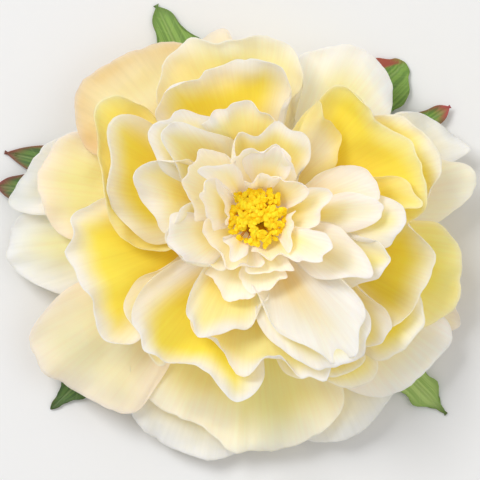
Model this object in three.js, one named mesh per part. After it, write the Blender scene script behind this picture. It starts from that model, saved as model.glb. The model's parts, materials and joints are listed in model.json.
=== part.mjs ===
// A double peony flower head, picked just below its leaves and lying face up.
// Millimetres, +Z up. Outlines are drawn around the flower's own axis. The whole head is then
// moved so that the origin is the middle of its footprint, on the surface that it lies on.
import * as THREE from "three";

// Driving dimensions, in millimetres
const petalThickness = 0.6;
const leafThickness = 0.8;
const clawWidth = 2.6; // width of a petal where it joins the receptacle
const joinGap = 0.35; // clearance between pieces that meet
const stemRadius = 3.2;
const stemLength = 5.2; // cut end to the underside of the receptacle
const highestLevel = 13; // petals sit in levels, from 0 at the back to this in the heart
const bossRadius = 9.4; // the cushion of stamens
const bossFoot = 25.5;
const bossTop = 39;
const carpelRadius = 2.8;
const carpelTop = 34;

// The receptacle is a cone. Petals of each level join it a little higher and further in.
const clawRadius = (level) => 9.5 - 0.35 * level;
const clawHeight = (level) => 8 + 1.1 * level;

// Height of the nested bowls that the petals follow, at a distance from the flower's axis.
// Those of the guard petals spread and droop, the next are cups with a steep rim, and the
// innermost are narrow and upright.
const spreadLevels = 3.5; // below this level bowls are of the spreading kind
const cupLevels = 7.5; // below this one they are cups
function bowlHeight(level, radius) {
  const reach = 74 - 4 * level;
  const droop = Math.max(0, 8 - level);
  const t = Math.max(0, radius - clawRadius(level)) / (reach - clawRadius(level));
  const rise = level < spreadLevels ? 6 + 1.5 * level : 8 + 2.6 * level - 2 * Math.max(0, level - 8);
  const cupped = level > spreadLevels && level < cupLevels;
  const swell = cupped ? 0.35 * t + 0.65 * t ** 3 : (1.8 * t ** 1.8) / (0.8 + t ** 1.8);
  return clawHeight(level) + rise * swell - droop * t ** 3;
}

// A closed thin shell around a grid of points, with the first row at the join
function shellGeometry(rows, thickness) {
  const last = rows.length - 1;
  const side = rows[0].length - 1;
  const clamp = THREE.MathUtils.clamp;
  const at = (i, j) => rows[clamp(i, 0, last)][clamp(j, 0, side)];
  const upperFace = [];
  const lowerFace = [];
  rows.forEach((row, i) =>
    row.forEach((point, j) => {
      const along = new THREE.Vector3().subVectors(at(i + 1, j), at(i - 1, j));
      const across = new THREE.Vector3().subVectors(at(i, j + 1), at(i, j - 1));
      const normal = new THREE.Vector3().crossVectors(along, across).normalize();
      upperFace.push(point.clone().addScaledVector(normal, thickness / 2));
      lowerFace.push(point.clone().addScaledVector(normal, -thickness / 2));
    }),
  );
  const upper = (i, j) => i * (side + 1) + j;
  const lower = (i, j) => upperFace.length + upper(i, j);
  const index = [];
  const quad = (a, b, c, d) => index.push(a, b, c, a, c, d);
  for (let i = 0; i < last; i++) {
    for (let j = 0; j < side; j++) {
      quad(upper(i, j), upper(i + 1, j), upper(i + 1, j + 1), upper(i, j + 1));
      quad(lower(i, j), lower(i, j + 1), lower(i + 1, j + 1), lower(i + 1, j));
    }
    quad(upper(i, 0), lower(i, 0), lower(i + 1, 0), upper(i + 1, 0));
    quad(upper(i, side), upper(i + 1, side), lower(i + 1, side), lower(i, side));
  }
  for (let j = 0; j < side; j++) {
    quad(upper(0, j), upper(0, j + 1), lower(0, j + 1), lower(0, j));
    quad(upper(last, j), lower(last, j), lower(last, j + 1), upper(last, j + 1));
  }
  const geometry = new THREE.BufferGeometry().setFromPoints([...upperFace, ...lowerFace]);
  geometry.setIndex(index);
  return geometry;
}

const polar = (degrees, radius) => {
  const angle = THREE.MathUtils.degToRad(degrees);
  return new THREE.Vector2(radius * Math.cos(angle), radius * Math.sin(angle));
};

// A petal fans out from its claw to its rim, whose points run anticlockwise seen from above,
// each with an optional lift that makes a fold. toward is the direction of the claw from the
// axis. The bends are heights in millimetres: ruffle of the rim's waves, cup of the petal's two
// sides above its middle, curl of its rim. fullness under 1 widens the petal sooner.
function petalGeometry({ toward, level, bends, rim }) {
  const { ruffle, cup, curl, fullness } = bends;
  const claw = polar(toward, clawRadius(level));
  const outward = polar(toward, 1);
  const sideways = polar(toward + 90, 1);
  const rows = [0, 0.25, 0.5, 0.75, 0.9, 1].map((share) =>
    rim.map(([x, y, fold = 0], j) => {
      const across = (2 * j) / (rim.length - 1) - 1;
      const reach = new THREE.Vector2(x, y).sub(claw);
      const slide = (clawWidth / 2) * across * (1 - share) + reach.dot(sideways) * share ** fullness;
      const place = claw.clone().addScaledVector(outward, reach.dot(outward) * share);
      place.addScaledVector(sideways, slide);
      const wave = (fold + ruffle * Math.sin(2.4 * j + toward)) * share ** 3;
      const lift = wave + cup * (across * share) ** 2 + curl * share ** 6;
      return new THREE.Vector3(place.x, place.y, bowlHeight(level, place.length()) + lift);
    }),
  );
  return shellGeometry(rows, petalThickness);
}

// A leaflet: a narrow stalk that widens into a blade, creased along its midrib, with its tip low
function leafGeometry({ toward, tip, width, blunt, base, tipHeight }) {
  const steps = 7;
  const start = polar(toward, stemRadius + joinGap);
  const end = new THREE.Vector2(...tip);
  const shoulder = start.clone().lerp(end, 0.5).addScaledVector(polar(toward, 1), 4);
  const spine = new THREE.QuadraticBezierCurve(start, shoulder, end);
  const rows = Array.from({ length: steps + 1 }, (_, i) => {
    const share = i / steps;
    const centre = spine.getPoint(share);
    const tangent = spine.getTangent(share);
    const left = new THREE.Vector2(-tangent.y, tangent.x);
    const blade = Math.max(0, share - 0.2) / 0.8;
    const half = 0.9 + (width / 2 - 0.9) * Math.sin(Math.PI * blade ** 1.6) ** blunt;
    return [-1, -0.5, 0, 0.5, 1].map((u) => {
      const place = centre.clone().addScaledVector(left, u * half);
      const height = base + (tipHeight - base) * share ** 2 + 0.07 * half * Math.abs(u);
      return new THREE.Vector3(place.x, place.y, height);
    });
  });
  return shellGeometry(rows, leafThickness);
}

const creamPetal = { color: 0xf4e8b4, roughness: 0.75 };
const yellowPetal = { color: 0xf2d768, roughness: 0.72 };
const palePetal = { color: 0xf7ecd2, roughness: 0.75 };
const guardPetal = { color: 0xe3d3ab, roughness: 0.78 };
const leafGreen = { color: 0x5f7d2c, roughness: 0.6 };
const stemGreen = { color: 0x7c9440, roughness: 0.6 };
const stamenYellow = { color: 0xf5c61c, roughness: 0.7 };
const carpelRed = { color: 0x7a2a1c, roughness: 0.55 };

// Broad petals at the back, which spread nearly flat
const guardPetals = [
  { toward: 50, level: 2, rim: [[44, 31], [42.5, 40], [38, 46.5], [29.5, 54, 2.5], [20, 51.7, -0.5], [12, 50]] },
  { toward: 100, level: 0, rim: [[-6, 54], [-7, 56.3], [-11, 58.5], [-16, 55.3], [-18, 52]] },
  {
    toward: 125,
    level: 3,
    rim: [[-17, 54], [-25, 54.7], [-35, 51], [-45, 46.5], [-52.5, 42], [-54.8, 39.8], [-55.5, 31], [-53, 20]],
  },
  {
    toward: 160,
    level: 1,
    rim: [[-55.5, 30.5], [-64, 24], [-69, 16], [-74, 7], [-76, 4.5], [-73.7, 1.2], [-66, 0.3]],
  },
  {
    toward: 163,
    level: 2,
    rim: [[-54, 29], [-60, 26], [-64, 17], [-68, 10], [-65, 6], [-64.5, 0], [-60, -5.5], [-56, -7.5]],
  },
  {
    toward: 187,
    level: 0,
    rim: [[-67, 7.5], [-71, 3], [-76, -4], [-77.2, -12, 2], [-74, -16, -0.5], [-67, -21], [-60, -24.5], [-52, -26]],
  },
  {
    toward: 215,
    level: 2,
    rim: [[-64, -22.5], [-68, -31], [-69.2, -38], [-67.5, -43, 2.5], [-61, -50, -1], [-50, -56], [-38.5, -61.2], [-34, -58]],
  },
  {
    toward: 243,
    level: 0,
    rim: [[-42, -41], [-42.8, -50], [-38.5, -61], [-30, -69], [-20, -73], [-10, -74.5], [-3.5, -71.5], [2, -66]],
  },
  {
    toward: 262,
    level: 1,
    rim: [
      [-41.5, -41], [-39, -49], [-32, -56.5, 1.5], [-24, -60.8], [-17, -63.3], [-10, -70], [-6, -72, 1.5],
      [-2.4, -71, -0.8], [3, -72.5, 1.5], [12, -69.5], [22, -64.5], [28, -57], [28.5, -51],
    ],
  },
  { toward: 298, level: 0, rim: [[9, -68], [14, -69.3], [22, -69], [32, -65.5], [37, -59], [42, -54.5], [44, -48]] },
  {
    toward: 318,
    level: 2,
    rim: [[28.5, -57.5], [36, -55.5], [44, -52.5], [52, -46], [58, -39], [60, -36.5], [58.5, -31]],
  },
  { toward: 332, level: 0, rim: [[58, -40], [62.5, -34], [63.3, -32], [60.5, -28.5], [59, -24]] },
  {
    toward: 345,
    level: 3,
    rim: [[40, -38], [50, -34.5], [60.5, -28.5], [62.5, -22], [62.2, -13], [60.5, -6], [55, -0.5]],
  },
  { toward: 8, level: 2, rim: [[60, -3], [65, 6], [66.9, 10], [66, 16], [60, 17], [55, 19]] },
  { toward: 27, level: 1, rim: [[58, 14], [63, 18.5], [66, 20], [64, 22.5], [55, 29.5], [44, 34.5]] },
];

// The next ring, cupped and upright enough to show its yellow faces
const outerPetals = [
  { toward: 22, level: 4, rim: [[57, 0], [57, 10], [53, 23], [47, 29.5], [40, 32.3], [34, 32]] },
  {
    toward: 30,
    level: 6,
    rim: [[44, -6], [49, -1], [51.5, 8], [50, 16], [43, 24], [37.5, 27.5], [36, 34, -1], [33, 39], [24, 40, 1.5], [18, 37]],
  },
  { toward: 52, level: 7, rim: [[28.5, 17], [24, 27, -1], [20.5, 35, 2.5], [19, 35.8, 2.5], [15.5, 32, -1], [10, 27.5]] },
  {
    toward: 97,
    level: 4,
    rim: [[11, 28.5], [17.5, 41], [14, 48], [6, 53.7], [-5, 55.7], [-15, 55], [-24, 50.5], [-32, 42], [-33, 34.5]],
  },
  {
    toward: 108,
    level: 6,
    rim: [
      [9, 27.5], [13.5, 37], [9, 46], [3, 49.8, 2], [-5, 46.7, -0.5], [-12.5, 42.8, -2.5], [-20, 44], [-28, 42.7, 1.5],
      [-32, 36], [-29.5, 22],
    ],
  },
  {
    toward: 165,
    level: 5,
    rim: [
      [-32, 33], [-37, 36.8], [-43, 36.8], [-50, 29, 1], [-46.8, 20, -1.5], [-49.2, 9, 1], [-46, 0], [-38, -10],
      [-30, -14.5],
    ],
  },
  {
    toward: 203,
    level: 4,
    rim: [
      [-49.5, 7.5], [-56, 3, 1], [-57.7, -3, 2], [-54.5, -17, 2], [-52, -30], [-46.5, -37.5], [-42, -40], [-36, -39],
    ],
  },
  { toward: 222, level: 5, rim: [[-30, -15.2], [-36, -18.5], [-41, -25], [-40, -34], [-35, -41], [-28, -45.5]] },
  {
    toward: 240,
    level: 6,
    rim: [
      [-28, -17], [-36, -23], [-37.5, -33], [-33, -41, 1.5], [-26, -45.7], [-18.5, -45, -2], [-12, -51.5], [-8, -55, 1.5],
      [-1, -53], [2, -47],
    ],
  },
  { toward: 291, level: 5, rim: [[3, -46], [10, -50], [20, -50.2], [25, -49.5], [30, -44.5], [31, -41]] },
  { toward: 297, level: 4, rim: [[12, -50], [20, -51.5], [28, -52], [34, -49], [37, -42]] },
  {
    toward: 338,
    level: 5,
    rim: [[38, -38.5], [46.3, -33], [47.5, -25], [52.5, -17], [54, -12], [51, -3], [47, 3]],
  },
];

// Ruffled petals that turn up around the heart
const middlePetals = [
  { toward: 12, level: 7, rim: [[43, 0.5], [48, 2], [49, 4], [43, 10.5], [33, 13.5]] },
  { toward: 15, level: 9, rim: [[24, -4], [31, -1], [36, 4], [36.5, 9], [33, 12.5], [28, 16.3], [20, 13.5], [15, 11.5]] },
  {
    toward: 80,
    level: 10,
    rim: [[13, 9], [17, 14], [18, 20], [14, 25.5], [5, 27], [-5, 24.5], [-12, 20.5], [-12, 15]],
  },
  { toward: 97, level: 8, rim: [[13, 24], [9, 29], [3, 31.5], [-5, 35], [-10, 33], [-15, 30], [-19, 25]] },
  {
    toward: 138,
    level: 9,
    rim: [[-4, 20], [-8, 23], [-14.5, 27.3], [-23.5, 28.3], [-29, 25], [-29.6, 22], [-26, 12], [-22, 4]],
  },
  { toward: 165, level: 8, rim: [[-25, 23], [-31, 20], [-35, 15], [-38.5, 10.5, 2], [-33.5, 6], [-30, 0], [-28, -6]] },
  { toward: 192, level: 10, rim: [[-20, 8], [-24, 4], [-27, 0, 1], [-26.5, -6], [-25, -13], [-18, -18], [-11, -19]] },
  { toward: 243, level: 8, rim: [[-21, -18], [-23.5, -28], [-21, -33.5], [-16.5, -39, 2], [-9, -34], [0, -33], [5, -27]] },
  {
    toward: 271,
    level: 7,
    rim: [[-22, -34], [-16.5, -40], [-10, -43], [0, -46], [9, -47.3], [19, -46], [24, -43], [25, -37]],
  },
  {
    toward: 306,
    level: 9,
    rim: [
      [-4, -24], [0, -30], [4.5, -36], [13, -40.5], [21, -42.5, 1], [23.5, -40.5, -1.5], [29, -42, 1], [31, -36], [32.3, -29],
      [29, -22.8], [23, -18],
    ],
  },
  { toward: 318, level: 6, rim: [[28, -44], [34, -41], [39.5, -35], [39.5, -29], [36, -23], [32, -18]] },
  { toward: 338, level: 8, rim: [[29, -23], [36, -19.5], [41, -15.5], [42.5, -13], [40, -7], [34, -5], [27, -2.5]] },
  { toward: 332, level: 10, rim: [[19, -21], [30, -21], [35, -17], [32, -11], [28, -5], [22, -1]] },
];

// The smallest petals, which stand around the stamens
const innerPetals = [
  { toward: 5, level: 12, rim: [[10, -10], [16, -6], [19, -0.5], [24.3, 5.5], [22, 9.5], [17, 10.5]] },
  { toward: 45, level: 13, rim: [[13, 2.6], [17, 6.5], [16.5, 10], [11, 12.6], [5, 13.5], [-1, 13.5]] },
  { toward: 75, level: 12, rim: [[13.5, 12.5], [12.5, 18], [3, 23], [-4.5, 20.5], [-9, 16.5]] },
  { toward: 140, level: 11, rim: [[-5, 18], [-12.5, 21], [-20, 19.5], [-24.2, 11], [-22, 4], [-19, -2]] },
  { toward: 165, level: 13, rim: [[-14.5, 14.5], [-18.5, 11], [-18, 6], [-16, 1], [-13, -5]] },
  { toward: 222, level: 12, rim: [[-17, 1], [-16, -9], [-10, -16], [-5, -17.5], [3, -15.5]] },
  { toward: 275, level: 11.5, rim: [[-5.5, -19.5], [0, -18.5], [6, -17.5], [12, -17]] },
  { toward: 268, level: 10.2, rim: [[-8, -19], [-5, -21], [4, -24.5], [9, -21], [11, -19.5]] },
  { toward: 312, level: 13, rim: [[-3, -12.6], [3, -14], [9, -13.2], [17, -15.7], [23.5, -10], [21, -5]] },
];

// Leaflets show between the petals and carry the head with their tips
const leaves = [
  { name: "leaf_right", toward: 18, tip: [59, 33.6], width: 12, blunt: 1, base: 4.6, tipHeight: 2 },
  { name: "leaf_upper_right", toward: 62, tip: [49, 50.5], width: 19, blunt: 0.5, base: 3, tipHeight: 0.2 },
  { name: "leaf_top", toward: 115, tip: [-30.5, 64.8], width: 17, blunt: 1, base: 3, tipHeight: 0.2 },
  { name: "leaf_left_upper", toward: 155, tip: [-76.8, 20], width: 14, blunt: 1, base: 3, tipHeight: 0.2 },
  { name: "leaf_left_lower", toward: 183, tip: [-80, 10], width: 17, blunt: 1, base: 4.6, tipHeight: 2 },
  { name: "leaf_lower_left", toward: 225, tip: [-63, -58.3], width: 14, blunt: 1, base: 3, tipHeight: 0.2 },
  { name: "leaf_lower_right", toward: 312, tip: [57.6, -60.2], width: 15, blunt: 1, base: 3, tipHeight: 0.2 },
];

const head = new THREE.Group();

function addPiece(name, geometry, finish) {
  const mesh = new THREE.Mesh(geometry, new THREE.MeshStandardMaterial(finish));
  mesh.name = name;
  head.add(mesh);
}

// A round piece from its profile of [radius, height] points, which starts and ends on the axis
function addTurned(name, profile, segments, finish) {
  const points = profile.map(([radius, height]) => new THREE.Vector2(radius, height));
  const geometry = new THREE.LatheGeometry(points, segments).rotateX(Math.PI / 2);
  addPiece(name, geometry, finish);
}

function addRing(name, petals, bends, finish) {
  petals.forEach((petal, i) => {
    const number = String(i + 1).padStart(2, "0");
    addPiece(`${name}_${number}`, petalGeometry({ ...petal, bends }), finish);
  });
}

addTurned("stem_stub", [[0, 0], [stemRadius, 0], [stemRadius * 0.95, stemLength], [0, stemLength]], 16, stemGreen);
addTurned(
  "receptacle",
  [
    [0, stemLength + joinGap],
    [stemRadius, stemLength + joinGap],
    [clawRadius(0) - joinGap, clawHeight(0)],
    [clawRadius(highestLevel) - joinGap, clawHeight(highestLevel)],
    [0, clawHeight(highestLevel)],
  ],
  24,
  stemGreen,
);
const carpelFoot = clawHeight(highestLevel) + joinGap;
addTurned(
  "carpels",
  [
    [0, carpelFoot],
    [carpelRadius * 0.8, carpelFoot],
    [carpelRadius, carpelFoot + 4],
    [carpelRadius * 0.7, carpelTop - 2],
    [0, carpelTop],
  ],
  12,
  carpelRed,
);
// The stamens stand in a thick ring around the carpels
const bossHole = carpelRadius + joinGap;
addTurned(
  "stamen_boss",
  [
    [bossHole, bossFoot],
    [4.6, bossFoot],
    [bossRadius * 0.86, bossFoot + 6],
    [bossRadius, bossFoot + 8.5],
    [bossRadius * 0.85, bossTop - 1.6],
    [bossRadius * 0.6, bossTop],
    [bossHole, bossTop - 1],
    [bossHole, bossFoot],
  ],
  24,
  stamenYellow,
);
leaves.forEach(({ name, ...leaf }) => addPiece(name, leafGeometry(leaf), leafGreen));
addRing("guard_petal", guardPetals, { ruffle: 0.6, cup: 1, curl: 0.5, fullness: 0.8 }, guardPetal);
addRing("outer_petal", outerPetals, { ruffle: 0.7, cup: 2, curl: 1.5, fullness: 0.75 }, yellowPetal);
addRing("middle_petal", middlePetals, { ruffle: 0.7, cup: 2.5, curl: 1, fullness: 0.6 }, creamPetal);
addRing("inner_petal", innerPetals, { ruffle: 0.5, cup: 2, curl: 0.5, fullness: 0.6 }, palePetal);

const footprint = new THREE.Box3().setFromObject(head);
const centre = footprint.getCenter(new THREE.Vector3());
head.position.set(-centre.x, -centre.y, -footprint.min.z);
head.updateMatrixWorld(true);

export default head;
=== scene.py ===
import json
import math
import random
import bpy
import numpy as np
from mathutils import Matrix, Vector, kdtree

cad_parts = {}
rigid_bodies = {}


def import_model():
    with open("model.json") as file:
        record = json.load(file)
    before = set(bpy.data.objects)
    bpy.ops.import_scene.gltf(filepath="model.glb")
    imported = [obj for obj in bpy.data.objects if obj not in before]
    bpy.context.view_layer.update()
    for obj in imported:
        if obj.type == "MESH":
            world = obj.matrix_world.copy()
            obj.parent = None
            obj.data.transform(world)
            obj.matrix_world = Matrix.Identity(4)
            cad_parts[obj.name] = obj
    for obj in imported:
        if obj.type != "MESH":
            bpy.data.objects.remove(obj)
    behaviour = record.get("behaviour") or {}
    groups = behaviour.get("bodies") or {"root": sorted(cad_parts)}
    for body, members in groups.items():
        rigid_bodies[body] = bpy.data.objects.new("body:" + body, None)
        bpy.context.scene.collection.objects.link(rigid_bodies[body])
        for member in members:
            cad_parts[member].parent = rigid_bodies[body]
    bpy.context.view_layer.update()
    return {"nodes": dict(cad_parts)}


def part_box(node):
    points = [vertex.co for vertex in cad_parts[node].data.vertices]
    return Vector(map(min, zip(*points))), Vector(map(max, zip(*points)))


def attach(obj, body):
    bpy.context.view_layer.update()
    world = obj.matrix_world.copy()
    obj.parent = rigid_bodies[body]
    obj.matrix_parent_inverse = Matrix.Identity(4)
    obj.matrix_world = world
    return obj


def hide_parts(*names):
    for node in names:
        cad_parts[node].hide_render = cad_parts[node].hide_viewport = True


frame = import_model()
mm = 0.001

stemLow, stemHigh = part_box("stem_stub")
axisPoint = (stemLow + stemHigh) / 2  # the flower's own axis passes here


def hexColour(code):
    channels = [int(code[i:i + 2], 16) / 255 for i in (0, 2, 4)]
    return tuple(c / 12.92 if c <= 0.04045 else ((c + 0.055) / 1.055) ** 2.4 for c in channels) + (1,)


# Paints, named as a silk painter would
paints = {name: hexColour(code) for name, code in {
    "white": "f7f2e6", "cream": "f8efcf", "butter": "fae998", "yellow": "f9dd50", "gold": "f2c01e",
    "tan": "e6c094", "greyWhite": "efebdf", "peach": "f5dfc0", "olive": "ece0ae", "sand": "f8e4b0",
    "pinkWhite": "f8efe4",
}.items()}


# camera, lights and floor

cameraSet = {"height": 1.2, "width": 0.144, "aim": (-0.0051, -0.0069), "level": 0.02}


def buildCamera():
    data = bpy.data.cameras.new("topCamera")
    data.sensor_width = 36
    data.lens = data.sensor_width * cameraSet["height"] / cameraSet["width"]
    camera = bpy.data.objects.new("topCamera", data)
    aimX, aimY = cameraSet["aim"]
    camera.location = (axisPoint.x + aimX, axisPoint.y + aimY, cameraSet["level"] + cameraSet["height"])
    bpy.context.collection.objects.link(camera)
    bpy.context.scene.camera = camera


studio = {
    "floorColour": (0.87, 0.87, 0.87, 1), "floorSize": 9, "skyStrength": 0.51,
    "lamps": [  # place, size, watts
        ((-1.0, 1.0, 2.0), 1.0, 30), ((1.4, 0.3, 2.5), 2.0, 11),
    ],
}


def buildStudio():
    bpy.ops.mesh.primitive_plane_add(size=studio["floorSize"])
    floor = bpy.context.active_object
    floor.name = "floor"
    material = bpy.data.materials.new("floorPaper")
    material.use_nodes = True
    shader = material.node_tree.nodes["Principled BSDF"]
    shader.inputs["Base Color"].default_value = studio["floorColour"]
    shader.inputs["Roughness"].default_value = 0.9
    floor.data.materials.append(material)
    world = bpy.data.worlds.new("studioSky")
    world.use_nodes = True
    world.node_tree.nodes["Background"].inputs["Color"].default_value = (1, 1, 1, 1)
    world.node_tree.nodes["Background"].inputs["Strength"].default_value = studio["skyStrength"]
    bpy.context.scene.world = world
    bpy.context.scene.view_settings.view_transform = "Standard"  # keeps the yellows clean
    for place, size, watts in studio["lamps"]:
        data = bpy.data.lights.new("softLamp", "AREA")
        data.size = size
        data.energy = watts
        lamp = bpy.data.objects.new("softLamp", data)
        lamp.location = place
        lamp.rotation_euler = (-Vector(place)).to_track_quat("-Z", "Y").to_euler()
        bpy.context.collection.objects.link(lamp)
    print("studio ready")


# shader node groups

def newGroup(name, inputs, outputs):
    group = bpy.data.node_groups.new(name, "ShaderNodeTree")
    for socketName, kind, value in inputs:
        socket = group.interface.new_socket(socketName, in_out="INPUT", socket_type=kind)
        if value is not None:
            socket.default_value = value
    for socketName, kind in outputs:
        group.interface.new_socket(socketName, in_out="OUTPUT", socket_type=kind)
    return group, group.nodes.new("NodeGroupInput"), group.nodes.new("NodeGroupOutput")


def wire(tree, source, target):
    tree.links.new(source, target)


def addMath(tree, operation, *values, clamp=False):
    node = tree.nodes.new("ShaderNodeMath")
    node.operation = operation
    node.use_clamp = clamp
    for socket, value in zip(node.inputs, values):
        if isinstance(value, (int, float)):
            socket.default_value = value
        else:
            wire(tree, value, socket)
    return node.outputs[0]


def addRange(tree, value, low, high, toLow=0.0, toHigh=1.0):
    node = tree.nodes.new("ShaderNodeMapRange")
    node.interpolation_type = "SMOOTHSTEP"
    for name, given in (("Value", value), ("From Min", low), ("From Max", high), ("To Min", toLow), ("To Max", toHigh)):
        if isinstance(given, (int, float)):
            node.inputs[name].default_value = given
        else:
            wire(tree, given, node.inputs[name])
    return node.outputs["Result"]


def addMix(tree, factor, first, second, blend="MIX"):
    node = tree.nodes.new("ShaderNodeMix")
    node.data_type = "RGBA"
    node.blend_type = blend
    for socket, value in ((node.inputs["Factor"], factor), (node.inputs[6], first), (node.inputs[7], second)):
        if isinstance(value, (int, float, tuple)):
            socket.default_value = value
        else:
            wire(tree, value, socket)
    return node.outputs[2]


def addNoise(tree, vector, scale, detail=2.0, roughness=0.5):
    node = tree.nodes.new("ShaderNodeTexNoise")
    node.inputs["Scale"].default_value = scale
    node.inputs["Detail"].default_value = detail
    node.inputs["Roughness"].default_value = roughness
    wire(tree, vector, node.inputs["Vector"])
    return node.outputs["Fac"]


# Colour of a petal, from its own map: x runs across in mm at the rim, y from claw 0 to rim 1
def buildPetalGroup():
    group, given, result = newGroup("petalPaint", [
        ("Map", "NodeSocketVector", None), ("Rim Distance", "NodeSocketFloat", 5.0),
        ("Claw", "NodeSocketColor", paints["gold"]), ("Middle", "NodeSocketColor", paints["butter"]),
        ("Rim", "NodeSocketColor", paints["white"]), ("Rim Width", "NodeSocketFloat", 6.0),
        ("Claw Reach", "NodeSocketFloat", 0.6), ("Streaks", "NodeSocketFloat", 0.5),
    ], [("Color", "NodeSocketColor"), ("Height", "NodeSocketFloat"), ("Roughness", "NodeSocketFloat")])
    split = group.nodes.new("ShaderNodeSeparateXYZ")
    wire(group, given.outputs["Map"], split.inputs[0])
    across, along = split.outputs["X"], split.outputs["Y"]
    streakMap = group.nodes.new("ShaderNodeCombineXYZ")
    wire(group, across, streakMap.inputs["X"])
    wire(group, addMath(group, "MULTIPLY", along, 1.5), streakMap.inputs["Y"])
    wire(group, split.outputs["Z"], streakMap.inputs["Z"])
    broad = addNoise(group, streakMap.outputs[0], 0.16, 2)
    fine = addNoise(group, streakMap.outputs[0], 1.3, 3, 0.6)
    streak = addMath(group, "ADD", addMath(group, "MULTIPLY", broad, 0.9), addMath(group, "MULTIPLY", fine, 0.1))
    swing = addMath(group, "MULTIPLY", addMath(group, "SUBTRACT", streak, 0.5), given.outputs["Streaks"])
    clawShare = addMath(group, "ADD", along, swing)
    body = addMix(group, addRange(group, clawShare, 0.1, given.outputs["Claw Reach"]),
                  given.outputs["Claw"], given.outputs["Middle"])
    rimShare = addMath(group, "DIVIDE", given.outputs["Rim Distance"], given.outputs["Rim Width"])
    rimShare = addMath(group, "SUBTRACT", rimShare, addMath(group, "MULTIPLY", swing, 1.0))
    body = addMix(group, addRange(group, rimShare, 0.0, 1.0), given.outputs["Rim"], body)
    shade = addRange(group, fine, 0.3, 0.7, 0.965, 1.02)
    shadeColour = group.nodes.new("ShaderNodeCombineColor")
    for channel in ("Red", "Green", "Blue"):
        wire(group, shade, shadeColour.inputs[channel])
    wire(group, addMix(group, 1.0, body, shadeColour.outputs[0], "MULTIPLY"), result.inputs["Color"])
    wire(group, fine, result.inputs["Height"])
    wire(group, addRange(group, broad, 0.3, 0.7, 0.62, 0.78), result.inputs["Roughness"])
    return group


def petalMaterial(name, spec):
    material = bpy.data.materials.new(name)
    material.use_nodes = True
    tree = material.node_tree
    shader = tree.nodes["Principled BSDF"]
    paint = tree.nodes.new("ShaderNodeGroup")
    paint.node_tree = petalGroup
    surfaceMap = tree.nodes.new("ShaderNodeUVMap")
    surfaceMap.uv_map = "petalMap"
    rim = tree.nodes.new("ShaderNodeAttribute")
    rim.attribute_name = "rimDistance"
    wire(tree, surfaceMap.outputs["UV"], paint.inputs["Map"])
    wire(tree, rim.outputs["Fac"], paint.inputs["Rim Distance"])
    for socket, key in (("Claw", "claw"), ("Middle", "middle"), ("Rim", "rim")):
        paint.inputs[socket].default_value = paints[spec[key]]
    paint.inputs["Rim Width"].default_value = spec["rimWidth"]
    paint.inputs["Claw Reach"].default_value = spec["clawReach"]
    paint.inputs["Streaks"].default_value = spec["streaks"]
    bump = tree.nodes.new("ShaderNodeBump")
    bump.inputs["Strength"].default_value = 0.06
    bump.inputs["Distance"].default_value = 0.0004
    wire(tree, paint.outputs["Height"], bump.inputs["Height"])
    wire(tree, bump.outputs["Normal"], shader.inputs["Normal"])
    wire(tree, paint.outputs["Color"], shader.inputs["Base Color"])
    wire(tree, paint.outputs["Roughness"], shader.inputs["Roughness"])
    shader.inputs["Subsurface Weight"].default_value = 0.6
    shader.inputs["Subsurface Radius"].default_value = (1.0, 0.8, 0.45)
    shader.inputs["Subsurface Scale"].default_value = 0.003
    shader.inputs["Specular IOR Level"].default_value = 0.25
    shader.inputs["Sheen Weight"].default_value = 0.15
    # Painted light: an emission in the petal's own colour makes the petal glow though it is no lamp
    wire(tree, paint.outputs["Color"], shader.inputs["Emission Color"])
    shader.inputs["Emission Strength"].default_value = spec["paintedGlow"]  # painted glow: the petal emits its own colour, standing in for light that leaks through thin silk and lifting its shade
    return material


# sheets: the upper side of a thin CAD solid, made smooth

sheets = {  # mm: thickness of the CAD solid and of the finished sheet, and how far in from the rim it thins
    "petal": {"solid": 0.6, "body": 0.32, "taper": 2.5}, "leaf": {"solid": 0.8, "body": 0.5, "taper": 1.5},
    "smoothLevels": 3,
}


def activate(piece):
    bpy.ops.object.select_all(action="DESELECT")
    piece.select_set(True)
    bpy.context.view_layer.objects.active = piece


def smoothed(piece):
    activate(piece)
    smooth = piece.modifiers.new("smooth", "SUBSURF")
    smooth.levels = smooth.render_levels = sheets["smoothLevels"]
    bpy.ops.object.modifier_apply(modifier="smooth")


def sheetFrom(node, name, thickness):
    piece = bpy.data.objects.new(name, frame["nodes"][node].data.copy())
    piece.data.name = name
    piece.data.materials.clear()
    bpy.context.collection.objects.link(piece)
    activate(piece)
    bpy.ops.object.mode_set(mode="EDIT")
    bpy.ops.mesh.select_all(action="SELECT")
    bpy.ops.mesh.customdata_custom_splitnormals_clear()
    bpy.ops.mesh.remove_doubles(threshold=0.001 * mm)
    bpy.ops.mesh.select_all(action="DESELECT")
    bpy.ops.object.mode_set(mode="OBJECT")
    points = vertexArray(piece.data)
    for face in piece.data.polygons:  # a wall face has an edge as long as the solid is thick
        corners = points[list(face.vertices)]
        sides = np.linalg.norm(corners - np.roll(corners, 1, axis=0), axis=1)
        face.select = bool(np.abs(sides - thickness).min() < 0.003 * mm)
    bpy.ops.object.mode_set(mode="EDIT")
    bpy.ops.mesh.delete(type="FACE")
    bpy.ops.object.mode_set(mode="OBJECT")
    max(piece.data.polygons, key=lambda face: face.area * face.normal.z).select = True
    bpy.ops.object.mode_set(mode="EDIT")
    bpy.ops.mesh.select_linked()
    bpy.ops.mesh.select_all(action="INVERT")
    bpy.ops.mesh.delete(type="FACE")
    bpy.ops.mesh.select_all(action="SELECT")
    bpy.ops.mesh.delete_loose()
    bpy.ops.mesh.select_all(action="SELECT")
    bpy.ops.mesh.tris_convert_to_quads(face_threshold=math.pi, shape_threshold=math.pi)
    bpy.ops.object.mode_set(mode="OBJECT")
    smoothed(piece)
    return piece


def vertexArray(mesh, field="co"):
    values = np.empty(len(mesh.vertices) * 3)
    source = mesh.vertices if field == "co" else mesh.vertex_normals
    source.foreach_get("co" if field == "co" else "vector", values)
    return values.reshape(-1, 3)


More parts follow.
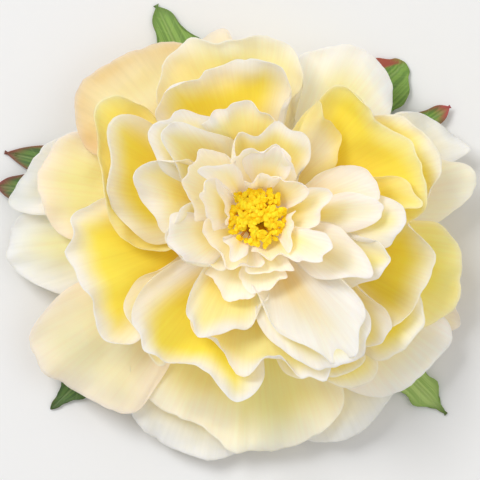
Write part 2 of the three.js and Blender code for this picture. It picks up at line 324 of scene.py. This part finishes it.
def boundaryIndices(mesh):
    uses = np.zeros(len(mesh.edges), int)
    edgeOfLoop = np.empty(len(mesh.loops), int)
    mesh.loops.foreach_get("edge_index", edgeOfLoop)
    np.add.at(uses, edgeOfLoop, 1)
    ends = np.empty(len(mesh.edges) * 2, int)
    mesh.edges.foreach_get("vertices", ends)
    return np.unique(ends.reshape(-1, 2)[uses == 1])


def borderDistance(points, border):
    tree = kdtree.KDTree(len(border))
    for i, index in enumerate(border):
        tree.insert(points[index], i)
    tree.balance()
    return np.array([tree.find(point)[2] for point in points]) / mm


def storeMap(mesh, across, along, toRim):
    rimAttribute = mesh.attributes.new("rimDistance", "FLOAT", "POINT")
    rimAttribute.data.foreach_set("value", toRim)
    while mesh.uv_layers:
        mesh.uv_layers.remove(mesh.uv_layers[0])
    layer = mesh.uv_layers.new(name="petalMap")
    corners = np.empty(len(mesh.loops), int)
    mesh.loops.foreach_get("vertex_index", corners)
    layer.data.foreach_set("uv", np.stack([across[corners], along[corners]], axis=1).ravel())
    mesh.update()


# Gives a sheet its body, which thins out towards the rim
def solidify(piece, kind, toRim):
    group = piece.vertex_groups.new(name="body")
    steps = np.clip(np.round(toRim / sheets[kind]["taper"] * 10), 1, 10).astype(int)
    for step in range(1, 11):
        group.add(np.nonzero(steps == step)[0].tolist(), step / 10, "REPLACE")
    activate(piece)
    body = piece.modifiers.new("body", "SOLIDIFY")
    body.thickness = sheets[kind]["body"] * mm
    body.offset = -1
    body.vertex_group = "body"
    body.thickness_vertex_group = 0.1
    bpy.ops.object.modifier_apply(modifier="body")
    bpy.ops.object.shade_smooth()


# Where each point of a sheet lies: angle about its claw, share of the way to the rim, mm to the rim
def petalFigures(mesh):
    points = vertexArray(mesh)
    border = boundaryIndices(mesh)
    fromAxis = np.hypot(points[:, 0] - axisPoint.x, points[:, 1] - axisPoint.y)
    foot = border[fromAxis[border] < fromAxis[border].min() + 1.0 * mm]
    footPoint = points[foot].mean(axis=0)
    outward = footPoint[:2] - np.array(axisPoint[:2])
    outward /= np.hypot(*outward)
    origin = footPoint[:2] - outward * 2 * mm
    offset = points[:, :2] - origin
    ahead = offset @ outward
    beside = offset @ np.array([-outward[1], outward[0]])
    angle = np.arctan2(beside, ahead)
    distance = np.hypot(ahead, beside)
    bins = 48
    edges = np.linspace(angle[border].min(), angle[border].max(), bins + 1)
    reach = np.zeros(bins)
    slot = np.clip(np.digitize(angle[border], edges) - 1, 0, bins - 1)
    np.maximum.at(reach, slot, distance[border])
    centres = (edges[:-1] + edges[1:]) / 2
    far = reach > 0.3 * reach.max()
    rimReach = np.interp(angle, centres[far], reach[far])
    along = np.clip((distance - 2 * mm) / (rimReach - 2 * mm), 0, 1)
    toRim = borderDistance(points, border[along[border] > 0.25])
    return angle, along, toRim, rimReach / mm


def waves(values, seed, wavelength, count=4):
    dice = random.Random(seed)
    total = np.zeros_like(values)
    for _ in range(count):
        length = wavelength * dice.uniform(0.6, 1.7)
        total += np.sin(values * 2 * math.pi / length + dice.uniform(0, 2 * math.pi))
    return total / math.sqrt(count)


# Soft dents in every direction of the plane
def dents(points, seed, wavelength, count=5):
    dice = random.Random(seed)
    total = np.zeros(len(points))
    for _ in range(count):
        heading, length = dice.uniform(0, math.pi), wavelength * dice.uniform(0.7, 1.5)
        run = (points[:, 0] * math.cos(heading) + points[:, 1] * math.sin(heading)) / mm
        total += np.sin(run * 2 * math.pi / length + dice.uniform(0, 2 * math.pi))
    return total / math.sqrt(count)


def finishPetal(piece, spec, seed):
    mesh = piece.data
    angle, along, toRim, reach = petalFigures(mesh)
    arc = angle * reach  # mm along the rim
    points = vertexArray(mesh)
    normals = vertexArray(mesh, "normal")
    outer = np.clip(along * 1.6 - 0.4, 0, 1)
    lift = spec["sway"] * along ** 2 * waves(angle * 30, seed, 22, 3)
    lift += spec["dent"] * along * dents(points, seed + 4, 13)
    lift += spec["pleat"] * along * waves(angle * 30, seed + 1, 3.2, 5)
    lift += spec["frill"] * outer * np.exp(-(toRim / 4) ** 2) * waves(arc, seed + 2, 9, 4)
    heading = np.arctan2(points[:, 1] - axisPoint.y, points[:, 0] - axisPoint.x)
    fromAxis = np.hypot(points[:, 0] - axisPoint.x, points[:, 1] - axisPoint.y) / mm
    for degrees, rise, width in spec.get("creases", []):
        aside = (heading - math.radians(degrees)) * fromAxis
        lift += rise * along ** 2 * np.exp(-(aside / width) ** 2)
    roll = spec["roll"] * (0.35 + waves(arc, seed + 5, 30, 2)) * outer * np.exp(-(toRim / 2.6) ** 1.5)
    lift += roll + spec["turn"] * outer * np.exp(-(toRim / 5) ** 2)
    points += normals * (lift * mm)[:, None]
    pull = np.abs(roll) * 0.5
    pull += spec["lobe"] * outer * np.exp(-toRim / 4) * np.clip(0.3 + 0.7 * waves(arc, seed + 6, 8, 4), 0, 1.6)
    pull += spec["jag"] * outer * np.exp(-toRim / 1.6) * (0.6 + 0.4 * waves(arc, seed + 3, 2.6, 4))
    inward = points.mean(axis=0) - points
    inward /= np.linalg.norm(inward, axis=1)[:, None]
    points += inward * (pull * mm)[:, None]
    mesh.vertices.foreach_set("co", points.ravel())
    storeMap(mesh, angle * 30 + seed * 7.3, along, toRim)
    solidify(piece, "petal", toRim)


# The glow entries are painted light: how strongly each ring's petals emit their own colour to lift their shade
ringDefaults = {
    "guard": {"claw": "yellow", "middle": "sand", "rim": "cream", "rimWidth": 14, "clawReach": 0.7, "streaks": 0.35,
              "sway": 1.4, "dent": 0.7, "pleat": 0.02, "frill": 0.35, "roll": 1.0, "turn": 0.2, "lobe": 0.3,
              "jag": 0.15, "paintedGlow": 0.11},
    "outer": {"claw": "gold", "middle": "yellow", "rim": "cream", "rimWidth": 9, "clawReach": 0.85, "streaks": 0.3,
              "sway": 1.6, "dent": 0.9, "pleat": 0.0, "frill": 0.5, "roll": 1.5, "turn": 0.4, "lobe": 0.3,
              "jag": 0.1, "paintedGlow": 0.075},
    "middle": {"claw": "gold", "middle": "butter", "rim": "white", "rimWidth": 8, "clawReach": 0.85, "streaks": 0.3,
               "sway": 1.5, "dent": 1.0, "pleat": 0.0, "frill": 0.9, "roll": 1.5, "turn": 0.3, "lobe": 0.35,
               "jag": 0.15, "paintedGlow": 0.085},
    "inner": {"claw": "yellow", "middle": "cream", "rim": "pinkWhite", "rimWidth": 5, "clawReach": 0.9,
              "streaks": 0.2, "sway": 0.5, "dent": 0.5, "pleat": 0.02, "frill": 0.9, "roll": 1.2, "turn": 0.1,
              "lobe": 1.0, "jag": 0.4, "paintedGlow": 0.14},
}

# What sets each petal apart from its ring; creases are heading in degrees, rise and width in mm
ownLooks = {
    "guard_petal_01": {"rim": "white", "rimWidth": 18, "middle": "butter", "creases": [(63, 2.0, 3.5)]},
    "guard_petal_02": {"rim": "peach"},
    "guard_petal_03": {"claw": "gold", "rim": "tan", "rimWidth": 13, "sway": 1.8},
    "guard_petal_04": {"rim": "greyWhite", "middle": "olive"},
    "guard_petal_05": {"rim": "peach", "middle": "butter", "rimWidth": 12},
    "guard_petal_06": {"rim": "greyWhite", "middle": "butter", "rimWidth": 18, "creases": [(-171, 2.0, 4)]},
    "guard_petal_07": {"rim": "peach", "rimWidth": 12, "creases": [(-144, 2.0, 4), (-128, -1.2, 5)]},
    "guard_petal_08": {"rim": "greyWhite", "rimWidth": 14},
    "guard_petal_09": {"rim": "cream", "middle": "butter", "rimWidth": 16,
                       "creases": [(-92, -0.9, 1.6), (-75, 1.2, 6), (-112, 1.2, 5)]},
    "guard_petal_10": {"rim": "greyWhite", "rimWidth": 16, "creases": [(-62, 1.2, 4)]},
    "guard_petal_11": {"rim": "white", "rimWidth": 16, "creases": [(-45, 1.4, 4)]},
    "guard_petal_12": {"rim": "peach"},
    "guard_petal_13": {"rim": "butter", "middle": "yellow", "streaks": 0.6, "pleat": 0.1},
    "guard_petal_14": {"rim": "cream", "middle": "peach", "rimWidth": 14, "creases": [(5, 1.2, 4)]},
    "guard_petal_15": {"rim": "greyWhite", "rimWidth": 16},
    "outer_petal_01": {"rim": "cream"},
    "outer_petal_02": {"rim": "butter", "rimWidth": 10},
    "outer_petal_03": {"rim": "butter", "middle": "cream"},
    "outer_petal_04": {"rim": "cream", "rimWidth": 12, "middle": "butter"},
    "outer_petal_05": {"rim": "white", "rimWidth": 12, "roll": 1.6, "creases": [(106, -1.8, 6), (85, 1.0, 5)]},
    "outer_petal_06": {"rim": "butter", "rimWidth": 12, "roll": 1.6, "creases": [(158, -1.8, 6)]},
    "outer_petal_07": {"rim": "white", "rimWidth": 12, "roll": 1.6},
    "outer_petal_08": {"rim": "cream"},
    "outer_petal_09": {"rim": "white", "rimWidth": 10, "roll": 1.5, "creases": [(-112, -1.5, 4)]},
    "outer_petal_12": {"rim": "cream", "rimWidth": 12},
    "middle_petal_01": {"rim": "butter", "middle": "yellow"},
    "middle_petal_02": {"rim": "pinkWhite", "middle": "cream"},
    "middle_petal_10": {"rim": "white", "middle": "cream", "rimWidth": 14, "creases": [(-60, -1.5, 3)]},
    "middle_petal_06": {"rim": "white", "rimWidth": 12},
    "middle_petal_13": {"rim": "pinkWhite", "middle": "cream"},
}

# Small petals between the big ones: toward is the side of the foot, rim points are mm off the axis,
# level says which of the nested bowls it follows, and lift raises its rim above that bowl
curls = [
    {"ring": "inner", "level": 13, "toward": 128, "raise": 2, "lift": 1.6,
     "rim": [(-19, 13.5), (-16.5, 16), (-12, 15.6), (-7, 16.4), (-4, 13.5)]},
    {"ring": "inner", "level": 13, "toward": 172, "raise": 2, "lift": 6.5,
     "rim": [(-12.5, 12), (-11.6, 9.5), (-10, 5), (-9.2, 1.5), (-9.8, -3)]},
    {"ring": "inner", "level": 13, "toward": 335, "raise": 2, "lift": 4.5,
     "rim": [(8.6, -11), (10.2, -9.5), (12.6, -6.5), (11, -3.5), (10.8, -0.5), (11.8, 2.4)]},
    {"ring": "inner", "level": 13, "toward": 88, "raise": 2, "lift": 5,
     "rim": [(7.5, 10.5), (4, 12.6), (0, 12), (-4.5, 11.5)]},
    {"ring": "inner", "level": 13, "toward": 238, "raise": 2, "lift": 5,
     "rim": [(-10.5, -5.5), (-8.6, -9), (-7.5, -13), (-3, -12.4)]},
    {"ring": "inner", "level": 12.4, "toward": 78, "raise": 0, "lift": 0.6,
     "rim": [(10.5, 13), (10.8, 16), (9, 19), (5, 20.6), (0, 19), (-5, 17)]},
    {"ring": "inner", "level": 9.6, "toward": 250, "raise": 0, "lift": 0.8,
     "rim": [(-16, -17), (-13, -21), (-9, -24.5), (-4, -25.5), (0, -25)]},
    {"ring": "inner", "level": 9.5, "toward": 5, "raise": 0, "lift": 1.0,
     "rim": [(24, -6), (31, -4), (36, -1.5), (38, 3), (34, 7), (27, 8)]},
    {"ring": "middle", "level": 8.5, "toward": 300, "raise": 0, "lift": 0.4,
     "rim": [(-1, -31), (5, -39.5), (13, -43.5), (21, -44.5), (28, -43.5), (33.5, -37), (34, -29)]},
    {"ring": "middle", "level": 8.5, "toward": 140, "raise": 0, "lift": 0.6,
     "rim": [(-9, 28), (-16, 30.5), (-24, 31), (-31, 28), (-33, 22), (-30, 14)]},
    {"ring": "inner", "level": 10.6, "toward": 207, "raise": 0, "lift": 1.2,
     "rim": [(-25.5, 1.5), (-27, -4), (-25, -10), (-20, -14.5), (-14, -15.5)]},
    {"ring": "middle", "level": 8.4, "toward": 354, "raise": 0, "lift": 0.6,
     "rim": [(36, -10), (42, -7), (45, -2), (43, 4), (36, 7)]},
    {"ring": "outer", "level": 6.3, "toward": 165, "raise": 0, "lift": 0.5,
     "rim": [(-29, 27), (-36, 31), (-42, 30), (-45, 24), (-43.5, 17), (-45.5, 9), (-42, 1), (-37, -6), (-31, -9)]},
    {"ring": "outer", "level": 4.6, "toward": 322, "raise": 0, "lift": 0.5,
     "rim": [(35, -44), (42, -41), (47, -37), (50, -31), (49.5, -24), (46, -20)]},
]


# Height of the nested bowls that the petals follow, in mm
def bowlHeight(level, radius):
    claw = 9.5 - 0.35 * level
    share = max(0, radius - claw) / (74 - 4 * level - claw)
    if level < 7.5:  # cups with a steep rim
        rise = (8 + 2.6 * level) * (0.35 * share + 0.65 * share ** 3) - (8 - level) * share ** 3
    else:
        rise = (24 + 0.6 * level) * 1.8 * share ** 1.8 / (0.8 + share ** 1.8)
    return 8 + 1.1 * level + rise


def curlSheet(name, curl):
    turn = math.radians(curl["toward"])
    outward, sideways = Vector((math.cos(turn), math.sin(turn))), Vector((-math.sin(turn), math.cos(turn)))
    foot = outward * (10.5 - 0.35 * curl["level"])
    rows, columns = 7, len(curl["rim"])
    bpy.ops.mesh.primitive_grid_add(x_subdivisions=columns - 1, y_subdivisions=rows - 1)
    piece = bpy.context.active_object
    piece.name = piece.data.name = name
    vertices = iter(piece.data.vertices)
    for i in range(rows):
        share = i / (rows - 1)
        for j, rimPoint in enumerate(curl["rim"]):
            reach = Vector(rimPoint) - foot
            spread = reach.dot(sideways) * share ** 0.6 + 1.2 * (j / (columns - 1) - 0.5) * (1 - share)
            place = foot + outward * reach.dot(outward) * share + sideways * spread
            height = bowlHeight(curl["level"], place.length) + curl["raise"] + curl["lift"] * share
            next(vertices).co = axisPoint.x + place.x * mm, axisPoint.y + place.y * mm, stemLow.z + height * mm
    smoothed(piece)
    return piece


def buildCurls():
    for number, curl in enumerate(curls, 1):
        ring = curl["ring"]
        spec = {**ringDefaults[ring], "sway": 0.5, "dent": 0.3, "lobe": 0.7, "roll": 0.8}
        piece = curlSheet("%s_curl_%02d" % (ring, number), curl)
        finishPetal(piece, spec, 2000 + number * 13)
        piece.data.materials.append(petalMaterial(piece.name + "_paint", spec))
        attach(piece, "root")
    print("curls:", len(curls))


def buildPetals():
    names = sorted(name for name in frame["nodes"] if "_petal_" in name)
    for seed, node in enumerate(names):
        ring = node.split("_")[0]
        spec = {**ringDefaults[ring], **ownLooks.get(node, {})}
        piece = sheetFrom(node, node + "_silk", sheets["petal"]["solid"] * mm)
        finishPetal(piece, spec, seed * 11)
        piece.data.materials.append(petalMaterial(node + "_paint", spec))
        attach(piece, "root")
        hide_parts(node)
    print("petals:", len(names))


# stamens and carpels

stamens = {
    # The glow and its colour are painted light: the stamens emit yellow light though they are no lamp
    "paintedGlow": 0.09, "paintedGlowColour": "ffde1c",
    "count": 170, "antherWidth": 1.65, "antherLength": 2.4, "filamentWidth": 0.32,
    "gaps": [((-3.3, -5.2), 1.7), ((1.3, -2.7), 1.3)],  # dark places where the heart shows, mm
}


def plainMaterial(name, roughness, subsurface=0.0):
    material = bpy.data.materials.new(name)
    material.use_nodes = True
    shader = material.node_tree.nodes["Principled BSDF"]
    shader.inputs["Roughness"].default_value = roughness
    shader.inputs["Specular IOR Level"].default_value = 0.3
    if subsurface:
        shader.inputs["Subsurface Weight"].default_value = subsurface
        shader.inputs["Subsurface Radius"].default_value = (1.0, 0.6, 0.2)
        shader.inputs["Subsurface Scale"].default_value = 0.001
    return material, material.node_tree, shader


def mottledMaterial(name, first, second, scale, roughness, bumpHeight, subsurface=0.0):
    material, tree, shader = plainMaterial(name, roughness, subsurface)
    place = tree.nodes.new("ShaderNodeTexCoord")
    broad = addNoise(tree, place.outputs["Object"], scale, 3, 0.55)
    fine = addNoise(tree, place.outputs["Object"], scale * 6, 2, 0.6)
    wire(tree, addMix(tree, addRange(tree, broad, 0.38, 0.62), first, second), shader.inputs["Base Color"])
    bump = tree.nodes.new("ShaderNodeBump")
    bump.inputs["Strength"].default_value = 0.5
    bump.inputs["Distance"].default_value = bumpHeight * mm
    wire(tree, fine, bump.inputs["Height"])
    wire(tree, bump.outputs["Normal"], shader.inputs["Normal"])
    return material


def antherShape():
    bpy.ops.object.select_all(action="DESELECT")
    bpy.ops.mesh.primitive_uv_sphere_add(segments=8, ring_count=6, radius=0.5)
    anther = bpy.context.active_object
    for vertex in anther.data.vertices:  # two lobes with a groove between them, a little bent
        groove = math.exp(-(vertex.co.x / 0.16) ** 2)
        vertex.co.y *= 0.85 - 0.35 * groove
        vertex.co.y += 0.22 * (vertex.co.z / 0.5) ** 2
    return anther


def filamentShape():
    bpy.ops.mesh.primitive_cylinder_add(vertices=5, radius=0.5, depth=1, location=(0, 0, 0.5))
    filament = bpy.context.active_object
    bpy.ops.object.mode_set(mode="EDIT")
    bpy.ops.mesh.select_all(action="SELECT")
    bpy.ops.mesh.subdivide(number_cuts=2)
    bpy.ops.object.mode_set(mode="OBJECT")
    bpy.ops.object.transform_apply(location=True)
    return filament


def placedCopy(template, matrix):
    copy = template.copy()
    copy.data = template.data.copy()
    copy.data.transform(matrix)
    bpy.context.collection.objects.link(copy)
    copy.matrix_world.identity()
    return copy


def joined(parts, name):
    bpy.ops.object.select_all(action="DESELECT")
    for part in parts:
        part.select_set(True)
    bpy.context.view_layer.objects.active = parts[0]
    bpy.ops.object.join()
    whole = bpy.context.active_object
    whole.name = whole.data.name = name
    bpy.ops.object.shade_smooth()
    return whole


def buildStamens():
    dice = random.Random(5)
    low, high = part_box("stamen_boss")
    centre = Vector(((low.x + high.x) / 2, (low.y + high.y) / 2, 0))
    radius, height = (high.x - low.x) / 2, high.z - low.z
    anther, filament = antherShape(), filamentShape()
    anthers, filaments = [], []
    for i in range(stamens["count"]):
        share = math.sqrt((i + 0.6) / stamens["count"])
        turn = i * 2.39996 + dice.uniform(-0.25, 0.25)
        reach = (radius - 0.5 * mm) * share * dice.uniform(0.93, 1.0)
        x, y = reach * math.cos(turn), reach * math.sin(turn)
        if any(math.hypot(x / mm - gx, y / mm - gy) < size for (gx, gy), size in stamens["gaps"]):
            continue
        crown = high.z - 1.3 * mm - height * 0.36 * share ** 2.4 - dice.uniform(0, 1.6) * mm
        tip = centre + Vector((x, y, crown))
        foot = centre + Vector((x * 0.38, y * 0.38, low.z + 0.4 * mm))
        lean = (tip - foot).to_track_quat("Z", "Y")
        size = dice.uniform(0.85, 1.15)
        tumble = Vector((dice.uniform(-1, 1), dice.uniform(-1, 1), dice.uniform(-0.2, 0.9))).to_track_quat("Z", "Y")
        bulk = Vector((stamens["antherWidth"], stamens["antherWidth"], stamens["antherLength"])) * size * mm
        place = Matrix.Translation(tip) @ tumble.to_matrix().to_4x4() @ Matrix.Diagonal((*bulk, 1))
        anthers.append(placedCopy(anther, place))
        width = stamens["filamentWidth"] * mm
        stalk = Matrix.Translation(foot) @ lean.to_matrix().to_4x4()
        stalk = stalk @ Matrix.Diagonal((width, width, (tip - foot).length, 1))
        filaments.append(placedCopy(filament, stalk))
    bpy.data.objects.remove(anther)
    bpy.data.objects.remove(filament)
    heads = joined(anthers, "anthers")
    stalks = joined(filaments, "filaments")
    heads.data.materials.append(mottledMaterial(
        "pollenYellow", hexColour("ffe42c"), hexColour("ffd014"), 500, 0.7, 0.12, 0.4))
    stalks.data.materials.append(mottledMaterial(
        "filamentOrange", hexColour("f3b414"), hexColour("d77c10"), 400, 0.6, 0.05, 0.2))
    for piece in (heads, stalks):
        # Painted glow: the anthers and filaments emit yellow light of their own
        shader = piece.data.materials[0].node_tree.nodes["Principled BSDF"]
        shader.inputs["Emission Color"].default_value = hexColour(stamens["paintedGlowColour"])
        shader.inputs["Emission Strength"].default_value = stamens["paintedGlow"]
        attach(piece, "root")
    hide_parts("stamen_boss")
    print("stamens:", len(anthers))


def buildCarpels():
    low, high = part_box("carpels")
    middle = (low + high) / 2
    parts = []
    for i in range(4):
        bpy.ops.object.select_all(action="DESELECT")
        bpy.ops.mesh.primitive_uv_sphere_add(segments=14, ring_count=12, radius=0.5)
        carpel = bpy.context.active_object
        for vertex in carpel.data.vertices:  # a flask with a curled stigma on top
            rise = vertex.co.z + 0.5
            vertex.co.x *= 1.15 - 0.75 * rise ** 1.5
            vertex.co.y *= 1.15 - 0.75 * rise ** 1.5
            vertex.co.x += 0.35 * max(0, rise - 0.55)
        spread = Matrix.Rotation(i * math.pi / 2 + 0.4, 4, "Z") @ Matrix.Translation((1.15 * mm, 0, 0))
        tall = Matrix.Diagonal((2.4 * mm, 2.4 * mm, high.z - low.z, 1))
        carpel.data.transform(Matrix.Translation((middle.x, middle.y, middle.z)) @ spread @ tall)
        parts.append(carpel)
    carpels = joined(parts, "carpel_cluster")
    carpels.data.materials.append(mottledMaterial(
        "carpelRed", hexColour("6e2414"), hexColour("3c1209"), 300, 0.55, 0.1))
    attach(carpels, "root")
    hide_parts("carpels")
    print("carpels: 4")


# leaves and stem

leafLooks = {
    "leaf_top": {"body": "8fb358", "dark": "688c3e", "edge": "5f7c3a", "tip": "6a8a40", "teeth": 2.2, "sided": 0},
    "leaf_upper_right": {"body": "86a94e", "dark": "5e8238", "edge": "a8383e", "tip": "7a9c44", "teeth": 1.0,
                         "sided": -1.0, "trim": 5.0},
    "leaf_right": {"body": "7aa043", "dark": "557834", "edge": "7d4438", "tip": "c04a55", "teeth": 0.8, "sided": 0},
    "leaf_lower_right": {"body": "bfd982", "dark": "98ba60", "edge": "86a855", "tip": "55692f", "teeth": 1.4,
                         "sided": 0},
    "leaf_lower_left": {"body": "678a46", "dark": "456434", "edge": "4a6638", "tip": "44592e", "teeth": 1.0,
                        "sided": 0},
    "leaf_left_upper": {"body": "6f9148", "dark": "4c6a3a", "edge": "8c4840", "tip": "7d4038", "teeth": 1.2,
                        "sided": 0},
    "leaf_left_lower": {"body": "70954c", "dark": "486a38", "edge": "7b3c3e", "tip": "8a3c42", "teeth": 1.2,
                        "sided": 0.1},
}


def buildLeafGroup():
    group, given, result = newGroup("leafPaint", [
        ("Map", "NodeSocketVector", None), ("Rim Distance", "NodeSocketFloat", 5.0),
        ("Body", "NodeSocketColor", (0.1, 0.3, 0.05, 1)), ("Dark", "NodeSocketColor", (0.05, 0.15, 0.03, 1)),
        ("Edge", "NodeSocketColor", (0.3, 0.05, 0.05, 1)), ("Tip", "NodeSocketColor", (0.3, 0.05, 0.05, 1)),
        ("Sided", "NodeSocketFloat", 0.0),
    ], [("Color", "NodeSocketColor"), ("Height", "NodeSocketFloat")])
    split = group.nodes.new("ShaderNodeSeparateXYZ")
    wire(group, given.outputs["Map"], split.inputs[0])
    across, along = split.outputs["X"], split.outputs["Y"]  # mm off the midrib, share of the length
    side = addMath(group, "ABSOLUTE", across)
    midrib = addRange(group, side, 0.15, 0.6, 1.0, 0.0)
    slope = addMath(group, "SUBTRACT", addMath(group, "MULTIPLY", along, 60.0), addMath(group, "MULTIPLY", side, 0.9))
    veinWave = addMath(group, "SINE", addMath(group, "MULTIPLY", slope, 1.5))
    vein = addMath(group, "MULTIPLY", addRange(group, veinWave, 0.8, 1.0), 0.4)
    ribs = addMath(group, "MAXIMUM", midrib, vein)
    cloud = addNoise(group, given.outputs["Map"], 0.9, 3, 0.6)
    body = addMix(group, addRange(group, cloud, 0.35, 0.65), given.outputs["Dark"], given.outputs["Body"])
    lighter = addMix(group, 0.45, given.outputs["Body"], (0.55, 0.62, 0.3, 1))
    body = addMix(group, addMath(group, "MULTIPLY", ribs, 0.35), body, lighter)
    margin = addMath(group, "ADD", given.outputs["Rim Distance"], addMath(group, "MULTIPLY", cloud, -1.6))
    margin = addMath(group, "ADD", margin, addMath(group, "MULTIPLY", across, given.outputs["Sided"]))
    body = addMix(group, addRange(group, margin, -0.9, 1.2, 0.85, 0.0), body, given.outputs["Edge"])
    ending = addMath(group, "ADD", along, addMath(group, "MULTIPLY", cloud, 0.12))
    body = addMix(group, addRange(group, ending, 0.96, 1.08, 0.0, 0.9), body, given.outputs["Tip"])
    wire(group, body, result.inputs["Color"])
    wire(group, addMath(group, "SUBTRACT", addMath(group, "MULTIPLY", cloud, 0.3), ribs), result.inputs["Height"])
    return group


def leafMaterial(name, look):
    material, tree, shader = plainMaterial(name, 0.5, 0.15)
    paint = tree.nodes.new("ShaderNodeGroup")
    paint.node_tree = leafGroup
    surfaceMap = tree.nodes.new("ShaderNodeUVMap")
    surfaceMap.uv_map = "petalMap"
    rim = tree.nodes.new("ShaderNodeAttribute")
    rim.attribute_name = "rimDistance"
    wire(tree, surfaceMap.outputs["UV"], paint.inputs["Map"])
    wire(tree, rim.outputs["Fac"], paint.inputs["Rim Distance"])
    for socket in ("Body", "Dark", "Edge", "Tip"):
        paint.inputs[socket].default_value = hexColour(look[socket.lower()])
    paint.inputs["Sided"].default_value = look["sided"]
    bump = tree.nodes.new("ShaderNodeBump")
    bump.inputs["Strength"].default_value = 0.5
    bump.inputs["Distance"].default_value = 0.3 * mm
    wire(tree, paint.outputs["Height"], bump.inputs["Height"])
    wire(tree, bump.outputs["Normal"], shader.inputs["Normal"])
    wire(tree, paint.outputs["Color"], shader.inputs["Base Color"])
    return material


# Across in mm and along as a share, measured on the straight line from stalk to tip
def finishLeaf(piece, look, seed):
    mesh = piece.data
    points = vertexArray(mesh)
    border = boundaryIndices(mesh)
    fromAxis = np.hypot(points[:, 0] - axisPoint.x, points[:, 1] - axisPoint.y)
    foot = points[fromAxis < fromAxis.min() + 1 * mm].mean(axis=0)
    tip = points[fromAxis.argmax()]
    chord = (tip - foot)[:2]
    length = np.hypot(*chord)
    forward = chord / length
    offset = points[:, :2] - foot[:2]
    along = offset @ forward / length
    across = offset @ np.array([-forward[1], forward[0]]) / mm
    steps = np.linspace(0, 1, 40)  # the midrib: middle of the blade at each place along it
    ribs = []
    for step in steps:
        near = border[np.abs(along[border] - step) < 0.04]
        ribs.append((across[near].min() + across[near].max()) / 2 if len(near) else 0)
    across -= np.interp(along, steps, ribs)
    toRim = borderDistance(points, border[along[border] > 0.15])
    margin = np.exp(-toRim / 1.2) * np.clip((along - 0.35) * 4, 0, 1)
    teeth = look["teeth"] * (0.5 + 0.5 * waves(along * length / mm, seed, 9, 3))
    inward = -np.sign(across)[:, None] * np.array([-forward[1], forward[0]])
    points[:, :2] += inward * (teeth * margin * mm)[:, None]
    points[:, :2] -= forward * (look.get("trim", 0) * mm * np.clip(along * 4 - 3, 0, 1) ** 2)[:, None]
    points[:, 2] += 0.35 * mm * np.clip(along * 2, 0, 1) * waves(along * length / mm + across, seed + 1, 11, 3) * (
        np.clip(1.5 - 1.6 * along, 0, 1))
    mesh.vertices.foreach_set("co", points.ravel())
    storeMap(mesh, across, along, toRim)
    solidify(piece, "leaf", toRim)


def buildLeaves():
    for seed, (node, look) in enumerate(leafLooks.items()):
        piece = sheetFrom(node, node + "_blade", sheets["leaf"]["solid"] * mm)
        finishLeaf(piece, look, seed * 5 + 900)
        piece.data.materials.append(leafMaterial(node + "_paint", look))
        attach(piece, "root")
        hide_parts(node)
    print("leaves:", len(leafLooks))


# The receptacle is green below and turns amber where the petals join
def buildStem():
    green = (hexColour("8aa650"), hexColour("6f8c3c"))
    stemPaint = mottledMaterial("stemGreen", *green, 160, 0.55, 0.1, 0.1)
    conePaint = mottledMaterial("coneGreen", *green, 160, 0.6, 0.1, 0.1)
    tree = conePaint.node_tree
    shader = tree.nodes["Principled BSDF"]
    split = tree.nodes.new("ShaderNodeSeparateXYZ")
    wire(tree, tree.nodes["Texture Coordinate"].outputs["Object"], split.inputs[0])
    colour = shader.inputs["Base Color"].links[0].from_socket
    rise = addRange(tree, split.outputs["Z"], 9 * mm, 15 * mm)
    wire(tree, addMix(tree, rise, colour, hexColour("b8741a")), shader.inputs["Base Color"])
    for node, paint in (("stem_stub", stemPaint), ("receptacle", conePaint)):
        frame["nodes"][node].material_slots[0].material = paint
    print("stem painted")


buildCamera()
buildStudio()
petalGroup = buildPetalGroup()
leafGroup = buildLeafGroup()
buildPetals()
buildCurls()
buildStamens()
buildCarpels()
buildLeaves()
buildStem()
